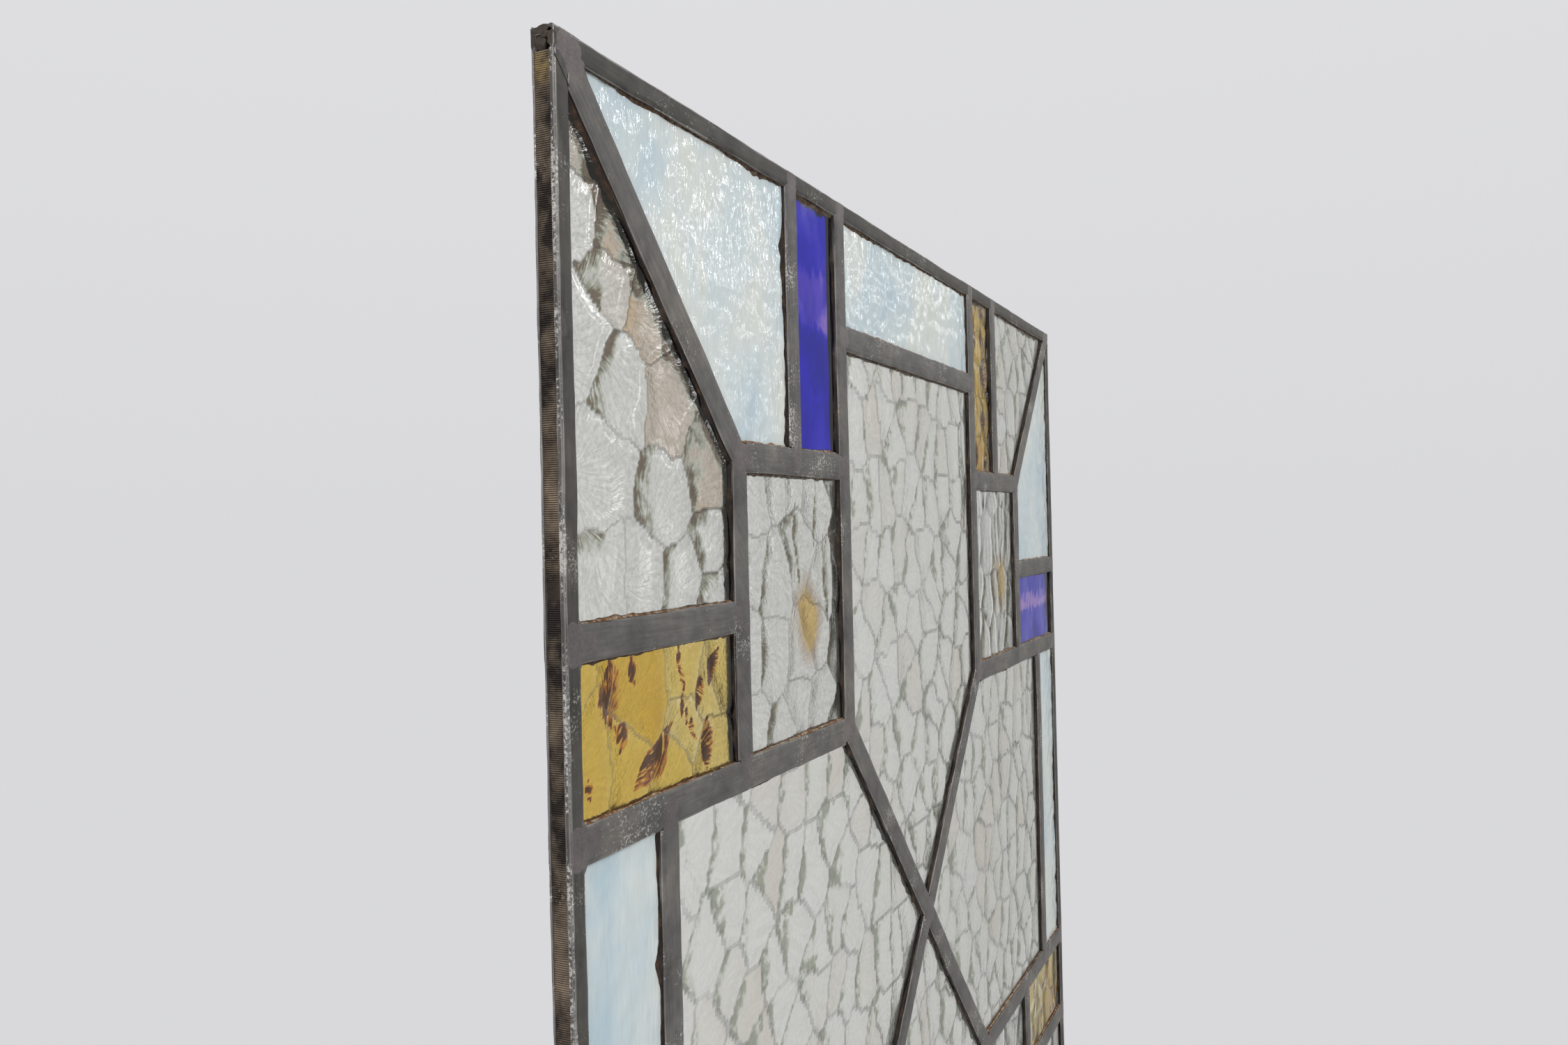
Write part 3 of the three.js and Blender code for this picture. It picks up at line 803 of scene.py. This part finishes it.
# The flames of the squares, painted shade: place across and up, half width, half height, and tilt in
# degrees
square_flames = (
    (17, 31, 6, 10, 12), (25, 37, 2.5, 5, 10), (21, 20, 2.5, 4, -20), (36, 12, 5.5, 12, -55),
    (50, 34, 1.8, 7, 4), (50, 24, 1.4, 5, 0), (56.5, 17, 1.7, 4, 15), (60, 27, 3, 5.5, -15),
    (68, 33, 3.6, 6, -30), (64, 11, 4.2, 7.5, -10), (6.5, 10, 1.5, 2.5, 0), (53, 20, 1.3, 4, 20),
)
for number, node in enumerate(sorted(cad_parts)):
    if not node.startswith("pane_amber_"):
        continue
    pane = pane_blank(node, 0.8 * MM, 5.0 * MM)
    if "square" in node:
        facets = laid_facets(node, square_facets)
        flames = [(*laid_place(node, across, up), half_width * MM, half_height * MM, math.radians(tilt))
                  for across, up, half_width, half_height, tilt in square_flames]
    else:
        facets = [(x, z, 0.3 + 0.3 * shade, 0.0)
                  for x, z, shade, _ in scatter_facets(node, 13 * MM, 1.4, 0.0, 0.9, number)]
        # Flames of painted shade beside the facets of the strips.
        flames = [(x - 5 * MM, z, (20 * shade - 4) * MM, (32 * shade - 6) * MM, 2.0 * shade - 0.8)
                  for x, z, shade, _ in facets]
    hammer(pane, node, facets, facet_cell, sink=0.5 * MM, pillow=5.0 * MM, sharp=0.7, upright=0.0,
           band=2.6, flames=flames)
    press(pane, wave, wave_depth)
    place_pane(pane, node, amber_glass)

# Blue panes: deep cobalt, nearly smooth, with a paler violet streak where the colour ran thin.
# Its IOR is a little low, so that the pale surround greys it less.
blue_glass, tree, shader = new_material("streaky cobalt glass",
                                        {"Transmission Weight": 1.0, "IOR": 1.45, "Roughness": 0.06})
place = add_node(tree, "TexCoord").outputs["Object"]
run = add_node(tree, "Mapping", {"Scale": (1.0, 1.0, 0.5)}, {"Vector": place})
streaks = add_node(tree, "TexNoise",
                   {"Scale": 1 / (13 * MM), "Detail": 5.0, "Roughness": 0.6, "Distortion": 0.8},
                   {"Vector": run})
thinned = add_node(tree, "Attribute", {"attribute_name": "thinned"}).outputs["Fac"]
paled = add_node(tree, "Math", {"operation": "MULTIPLY_ADD", 1: 0.42}, {0: thinned, 2: streaks})
cobalt = add_node(tree, "ValToRGB", {}, {"Fac": paled},
                  [(0.38, "#0E04AA"), (0.54, "#1C10C8"), (0.68, "#3A2ED4"), (0.9, "#B08CE0")])
connect(tree, shader, {"Base Color": cobalt})
thin_streak_height = 0.6
blue_wave_depth = 0.5 * MM
for node in sorted(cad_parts):
    if node.startswith("pane_blue_"):
        pane = pane_blank(node, 1.0 * MM, 4.0 * MM)
        low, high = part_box(node)
        streak_at = low.z + thin_streak_height * (high.z - low.z)
        thin_marks = []
        for vertex in pane.data.vertices:
            spot = Vector((vertex.co.x / (2.5 * MM), 0.0, vertex.co.z / (12 * MM)))
            ragged_edge = noise.noise(spot) * 5 * MM
            from_streak = abs(vertex.co.z - streak_at + ragged_edge) / (0.1 * (high.z - low.z))
            thin_marks.append(min(1.0, max(0.0, 3.0 - 2.5 * from_streak)))
        mark(pane, "thinned", thin_marks)
        press(pane, wave, blue_wave_depth)
        place_pane(pane, node, blue_glass)

# Opal panes: milky glass, pale blue-white, that lets light glow through but shows nothing behind it. Its
# face is rippled, and its colour drifts in wisps between bluish, grey and cream.
opal_glass, tree, shader = new_material("rippled opal glass",
                                        {"IOR": 1.52, "Roughness": 0.07, "Subsurface Weight": 0.3,
                                         "Subsurface Radius": (1.0, 1.0, 1.0), "Subsurface Scale": 2 * MM})
place = add_node(tree, "TexCoord").outputs["Object"]
drift_run = add_node(tree, "Mapping", {"Scale": (1.0, 1.0, 0.55), "Rotation": (0.0, 0.3, 0.0)},
                     {"Vector": place})
drift = add_node(tree, "TexNoise",
                 {"Scale": 1 / (38 * MM), "Detail": 5.0, "Roughness": 0.6, "Distortion": 0.5},
                 {"Vector": drift_run})
milk = add_node(tree, "ValToRGB", {}, {"Fac": drift},
                [(0.3, "#BED1DB"), (0.44, "#D0DCE0"), (0.56, "#DEE3E1"), (0.7, "#D9DED2")])
stroke_run = add_node(tree, "Mapping", {"Scale": (1.0, 1.0, 0.22), "Rotation": (0.0, -0.35, 0.0)},
                      {"Vector": place})
strokes = add_node(tree, "TexNoise",
                   {"Scale": 1 / (1.5 * MM), "Detail": 2.0, "Roughness": 0.5, "Distortion": 0.3},
                   {"Vector": stroke_run})
stroke_relief = add_node(tree, "Bump", {"Strength": 0.8, "Distance": 0.3 * MM}, {"Height": strokes})
connect(tree, shader, {"Base Color": milk, "Normal": stroke_relief})
ripple = cloud_texture("ripple", 5 * MM)
swell = cloud_texture("swell", 16 * MM)
for node in sorted(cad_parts):
    if node.startswith("pane_opal_"):
        pane = pane_blank(node, 1.3 * MM, 5.0 * MM)
        press(pane, ripple, 0.8 * MM)
        press(pane, swell, 0.7 * MM)
        place_pane(pane, node, opal_glass)


# Solder: where cames meet, tin and lead solder is run flat over the joint on both sides. It sinks into the
# gap, keeps a soft round edge, and sends a short tongue along each came.
solder_depth = half_thickness - 0.28 * MM
solder_rise = 0.26 * MM
solder_sink = 0.4 * MM
solder_inset = 0.25 * MM
tongue_width = 3.7 * MM

solder_metal = lead_material("dull solder", ("#6C6567", "#797272", "#857D79"), "#B9B4AE", 0.4, 0.55, 0.42)


def tongue(angle, towards, length):
    """How far a round-ended tongue reaches from the joint at an angle."""
    turn = abs((angle - towards + math.pi) % math.tau - math.pi)
    if turn >= math.pi / 2:
        return tongue_width
    stem = length - tongue_width
    if stem * math.tan(turn) >= tongue_width:
        return tongue_width / math.sin(turn)
    return stem * math.cos(turn) + math.sqrt(tongue_width ** 2 - (stem * math.sin(turn)) ** 2)


def turn_outwards(piece):
    """Makes every face of a piece point outwards."""
    make_active(piece)
    bpy.ops.object.mode_set(mode="EDIT")
    bpy.ops.mesh.select_all(action="SELECT")
    bpy.ops.mesh.normals_make_consistent(inside=False)
    bpy.ops.object.mode_set(mode="OBJECT")


def solder_joint(name, joint, branches):
    """Two flat puddles, front and back, as one piece."""
    sides = []
    for face in (-1, 1):
        puddle = fresh_shape(bpy.ops.mesh.primitive_uv_sphere_add, segments=36, ring_count=8, radius=1.0,
                             rotation=(math.pi / 2, 0.0, 0.0))
        for vertex in puddle.data.vertices:
            spread = min(1.0, math.hypot(vertex.co.x, vertex.co.z))
            angle = math.atan2(vertex.co.z, vertex.co.x)
            reaches = [tongue(angle, math.atan2(up, across), length) for across, up, length in branches]
            reach = sum(item ** 10 for item in reaches) ** 0.1
            ring = Vector((math.cos(angle), face, math.sin(angle)))
            reach *= 1.0 + 0.07 * noise.noise(ring + Vector((joint.x, joint.y, 0.0)) / (5 * MM))
            if vertex.co.y * face > 0.0:
                depth = solder_depth + solder_rise * (1.0 - spread ** 5)
            else:
                depth = solder_depth - solder_sink * math.sqrt(1.0 - spread ** 2)
            x = held_in(joint.x + math.cos(angle) * reach * spread, 0, solder_inset)
            z = held_in(joint.y + math.sin(angle) * reach * spread, 2, solder_inset)
            beat = 0.025 * MM * noise.noise(Vector((x, face, z)) / (4 * MM))
            vertex.co = Vector((x, middle_depth + face * (depth + beat), z))
        sides.append(puddle)
    piece = sides[0]
    join_to(piece, sides[1:])
    piece.name = name
    turn_outwards(piece)
    bpy.ops.object.shade_smooth()
    piece.data.materials.append(solder_metal)
    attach(piece, "root")


def middle_of(node):
    """The middle of a node's box."""
    low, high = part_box(node)
    return (low + high) / 2


# The centre lines of the cames, as distances from the middle of the panel across and up, and the joints of
# the upper right quarter: name, place, and each tongue's way across and up and its length in millimetres
centre = (cad_low + cad_high) / 2
reach_side = cad_high.x - centre.x
reach_end = cad_high.z - centre.z
column_side = abs(middle_of("came_side_strip_left").x)
column_corner = abs(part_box("came_corner_upper_left")[1].x) + came_width / 2
column_outer = abs(middle_of("came_strip_outer_upper_left").x)
column_inner = abs(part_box("came_cross_through")[0].x) - came_width / 2
row_bar = middle_of("came_centre_bar_upper").z - centre.z
row_foot = middle_of("came_strip_foot_upper_left").z - centre.z
row_square = middle_of("came_square_upper_left").z - centre.z
row_long = middle_of("came_long_bar_upper_left").z - centre.z
on_border = 2.6 * MM
diagonal = (reach_side - column_corner, reach_end - row_foot)

joints = (
    ("corner", reach_side - 4.2 * MM, reach_end - 3.6 * MM, ((-1, 0, 9), (-diagonal[0], -diagonal[1], 13))),
    ("strip_outer_head", column_outer, reach_end - on_border, ((0, -1, 10), (1, 0, 5), (-1, 0, 5))),
    ("strip_inner_head", column_inner, reach_end - on_border, ((0, -1, 10), (1, 0, 5), (-1, 0, 5))),
    ("bend", column_corner, row_foot, ((*diagonal, 8), (0, -1, 8), (-1, 0, 10))),
    ("strip_outer_foot", column_outer, row_foot, ((0, 1, 9), (1, 0, 4.5), (-1, 0, 4.5))),
    ("strip_inner_foot", column_inner, row_foot, ((1, 0, 9), (0, 1, 5), (0, -1, 5))),
    ("square_border", reach_side - on_border, row_square, ((-1, 0, 12), (0, 1, 7), (0, -1, 7))),
    ("square_upright", column_corner, row_square, ((1, 0, 9), (0, 1, 5), (0, -1, 5))),
    ("long_border", reach_side - on_border, row_long, ((-1, 0, 13), (0, 1, 7), (0, -1, 7))),
    ("side_strip", column_side, row_long, ((0, -1, 9), (1, 0, 4.5), (-1, 0, 4.5))),
    ("upright_foot", column_corner, row_long, ((0, 1, 9), (1, 0, 4.5), (-1, 0, 4.5))),
    ("shoulder", column_inner, row_long, ((1, 0, 9), (0, 1, 8), (-column_inner, -row_long, 8))),
    ("centre_bar", column_inner, row_bar, ((-1, 0, 9), (0, 1, 5), (0, -1, 5))),
)
for level, level_name in ((1, "upper"), (-1, "lower")):
    for side, side_name in ((-1, "left"), (1, "right")):
        for name, across, rise, branches in joints:
            joint = Vector((centre.x + side * across, centre.z + level * rise))
            turned = [(side * du, level * dv, length * MM) for du, dv, length in branches]
            solder_joint(f"solder_{name}_{level_name}_{side_name}", joint, turned)
crossing = [(sx * column_inner, sz * row_long, 8 * MM) for sx in (-1, 1) for sz in (-1, 1)]
solder_joint("solder_crossing", Vector((centre.x, centre.z)), crossing)


# Glazing putty: pressed under the flanges to bed each pane, gone dark brown and brittle, with rust-coloured
# and pale crumbs on the ledges. It fills the channel and shows as a ragged line along the edge of the lead.
putty, tree, shader = new_material("old glazing putty", {"Roughness": 0.9})
place = add_node(tree, "TexCoord").outputs["Object"]
mottle = add_node(tree, "TexNoise", {"Scale": 1 / (4 * MM), "Detail": 5.0, "Roughness": 0.7},
                  {"Vector": place})
browns = add_node(tree, "ValToRGB", {}, {"Fac": mottle},
                  [(0.42, "#1A130E"), (0.55, "#2E2218"), (0.66, "#4A3626"), (0.76, "#6E5136")])
crumb_mottle = add_node(tree, "TexNoise", {"Scale": 1 / (2 * MM), "Detail": 5.0, "Roughness": 0.7},
                        {"Vector": place})
crumbs = add_node(tree, "ValToRGB", {}, {"Fac": crumb_mottle},
                  [(0.36, "#4A2C1A"), (0.46, "#7E5434"), (0.54, "#94806A"), (0.66, "#B5AA94")])
ledge = add_node(tree, "Attribute", {"attribute_name": "ledge"}).outputs["Fac"]
mixed = add_node(tree, "Mix", {"data_type": "RGBA"}, {"Factor": ledge, "A": browns, "B": crumbs})
lumps = add_node(tree, "Bump", {"Strength": 0.8, "Distance": 0.3 * MM}, {"Height": crumb_mottle})
connect(tree, shader, {"Base Color": mixed, "Normal": lumps})

# How far the flanges cover the panes, and how near the edge of the panel a side of a pane lies in a border
came_cover = 3.2 * MM
border_cover = 2.4 * MM
border_zone = 4 * MM


def offset_corners(corners, sides, distances):
    """The outline's corners after each side has moved inwards by its own distance."""
    moved = []
    for index in range(len(corners)):
        start, _, inward = sides[index]
        before_start, _, before_inward = sides[index - 1]
        level = start.dot(inward) + distances[index]
        before_level = before_start.dot(before_inward) + distances[index - 1]
        spread = before_inward.x * inward.y - before_inward.y * inward.x
        moved.append(Vector(((before_level * inward.y - level * before_inward.y) / spread,
                             (level * before_inward.x - before_level * inward.x) / spread)))
    return moved


def putty_ring(corners, face, step):
    """The points and faces of the putty round one side of a pane: five points across, all the way round."""
    sides = inward_sides(corners)
    covers = []
    for start, end, _ in sides:
        by_end = abs((start.y + end.y) / 2 - centre.z) > reach_end - border_zone
        by_side = abs(start.x + end.x) / 2 > reach_side - border_zone
        covers.append(border_cover if by_end or by_side else came_cover)
    outer = offset_corners(corners, sides, [-0.3 * MM] * len(sides))
    lip = offset_corners(corners, sides, [cover - 0.1 * MM for cover in covers])
    edge = offset_corners(corners, sides, [cover + 0.25 * MM for cover in covers])
    points, ledges = [], []
    for index, (start, end, inward) in enumerate(sides):
        after = (index + 1) % len(sides)
        length = (end - start).length
        count = max(3, round(length / step))
        for station in range(count):
            share = station / count
            from_end = min(share, 1 - share) * length
            fade = min(1.0, from_end / (1.2 * MM))
            lip_point = lip[index].lerp(lip[after], share)
            spot = Vector((lip_point.x, face * 0.01, lip_point.y))
            lumpy = noise.noise(spot / (4 * MM)) + 0.4 * noise.noise(spot / (1.8 * MM))
            heavy = min(1.0, max(0.0, 2.5 * noise.noise(spot / (24 * MM)) + 0.5))
            if inward.x < -0.7:
                drip = max(0.0, 1.0 - 3.0 * abs(noise.noise(spot / (15 * MM))))
                ooze = 0.3 + 2.6 * drip ** 1.5 + 0.3 * lumpy
            elif inward.y < -0.7 and start.y > centre.z + reach_end - border_zone:
                ooze = 1.1 + heavy * (0.9 + 2.4 * max(0.0, lumpy))
            else:
                ooze = 0.15 + 0.7 * heavy * max(0.0, 0.4 + lumpy)
            ooze = max(0.0, ooze) * MM * fade
            outer_point = outer[index].lerp(outer[after], share)
            edge_point = edge[index].lerp(edge[after], share) + inward * ooze
            crown = lip_point.lerp(edge_point, 0.5)
            section = ((outer_point, 1.5), (outer_point, 2.12), (lip_point, 2.3), (crown, 2.0),
                       (edge_point, 1.35))
            points.extend((place.x, middle_depth + face * depth * MM, place.y) for place, depth in section)
            ledges.extend([1.0 if inward.y > 0.7 else 0.3 if inward.y < -0.7 else 0.0] * len(section))
    total = len(points) // 5
    quads = []
    for ring in range(total):
        following = (ring + 1) % total
        for side in range(5):
            beside = (side + 1) % 5
            quads.append((5 * ring + side, 5 * ring + beside, 5 * following + beside, 5 * following + side))
    return points, quads, ledges


for node in sorted(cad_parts):
    if not node.startswith("pane_"):
        continue
    corners = pane_outline(node)
    points, faces, ledges = [], [], []
    for face, step in ((-1, 0.9 * MM), (1, 2.8 * MM)):
        ring_points, ring_faces, ring_ledges = putty_ring(corners, face, step)
        first = len(points)
        points.extend(ring_points)
        faces.extend(tuple(first + index for index in quad) for quad in ring_faces)
        ledges.extend(ring_ledges)
    mesh = bpy.data.meshes.new("putty_" + node[5:])
    mesh.from_pydata(points, [], faces)
    band = bpy.data.objects.new("putty_" + node[5:], mesh)
    bpy.context.scene.collection.objects.link(band)
    mark(band, "ledge", ledges)
    turn_outwards(band)
    bpy.ops.object.shade_smooth_by_angle(angle=math.radians(60))
    mesh.materials.append(putty)
    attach(band, "root")


# Corners: the diagonal came laps over the side border, with a grimy seam along its edge. The top and bottom
# borders end in open channels, choked with putty; at the upper left the lead end is also torn and crumpled.
def lump(name, middle, radii, roughness, material):
    """A rough lump, from a ball that is beaten out of shape and kept inside the panel's size."""
    piece = fresh_shape(bpy.ops.mesh.primitive_ico_sphere_add, subdivisions=4, radius=1.0)
    piece.name = name
    for vertex in piece.data.vertices:
        point = Vector(middle) + Vector([vertex.co[axis] * radii[axis] for axis in range(3)])
        dents = noise.noise_vector(point / (1.6 * MM)) * roughness
        pits = noise.noise_vector(point / (0.6 * MM)) * roughness / 3
        point += dents + pits
        vertex.co = [held_in(point[axis], axis) for axis in range(3)]
    bpy.ops.object.shade_smooth_by_angle(angle=math.radians(50))
    piece.data.materials.append(material)
    mark(piece, "ledge", [0.0] * len(piece.data.vertices))
    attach(piece, "root")
    return piece


end_channel = middle_of("border_top").z - 0.7 * MM - centre.z
for level, level_name in ((1, "upper"), (-1, "lower")):
    for side, side_name in ((-1, "left"), (1, "right")):
        corner_name = f"{level_name}_{side_name}"
        plug_place = (centre.x + side * (reach_side - 2.6 * MM), middle_depth,
                      centre.z + level * end_channel)
        lump("putty_end_" + corner_name, plug_place, (1.6 * MM, 2.0 * MM, 1.3 * MM), 0.35 * MM, putty)
        run = Vector((-side * diagonal[0], -level * diagonal[1])).normalized()
        beside = Vector((side * abs(run.y), -level * abs(run.x))) * (came_width / 2 + 0.1 * MM)
        outer_corner = Vector((centre.x + side * reach_side, centre.z + level * reach_end))
        seam_middle = outer_corner + beside + run * 9.0 * MM
        seam_depth = cad_low.y + face_drop
        seam = fresh_shape(bpy.ops.mesh.primitive_cylinder_add, vertices=8, radius=0.22 * MM,
                           depth=8.5 * MM, location=(seam_middle.x, seam_depth, seam_middle.y),
                           rotation=(0.0, math.atan2(run.x, run.y), 0.0))
        seam.name = "putty_seam_" + corner_name
        for vertex in seam.data.vertices:
            vertex.co.y = seam_depth + 0.3 * (vertex.co.y - seam_depth)
        cut_stations(seam, 2, seam_middle.y - 3 * MM, seam_middle.y + 3 * MM, 1 * MM)
        for vertex in seam.data.vertices:
            shake = noise.noise_vector(vertex.co / (2 * MM)) * 0.15 * MM
            vertex.co.x = held_in(vertex.co.x + shake.x, 0)
            vertex.co.z += shake.z
        seam.data.materials.append(putty)
        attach(seam, "root")

# The torn lead: the place of each lump from the corner of the panel, and its half sizes
torn_lead = (
    ((0.5, 0.0, -1.1), (0.8, 3.1, 1.0)), ((0.45, 2.3, -3.2), (0.5, 0.9, 3.0)),
    ((0.5, -2.3, -2.6), (0.6, 1.0, 2.6)), ((3.4, 0.0, -0.3), (3.8, 3.0, 0.8)),
    ((0.9, 0.9, -3.9), (0.9, 1.8, 1.9)), ((0.8, -0.6, -2.0), (0.7, 1.6, 0.8)),
)
for number, (offset, radii) in enumerate(torn_lead):
    torn_place = Vector((cad_low.x, middle_depth, cad_high.z)) + Vector(offset) * MM
    torn = lump(f"lead_torn_end_{number + 1}", torn_place, Vector(radii) * MM, 0.4 * MM, grimy_lead)
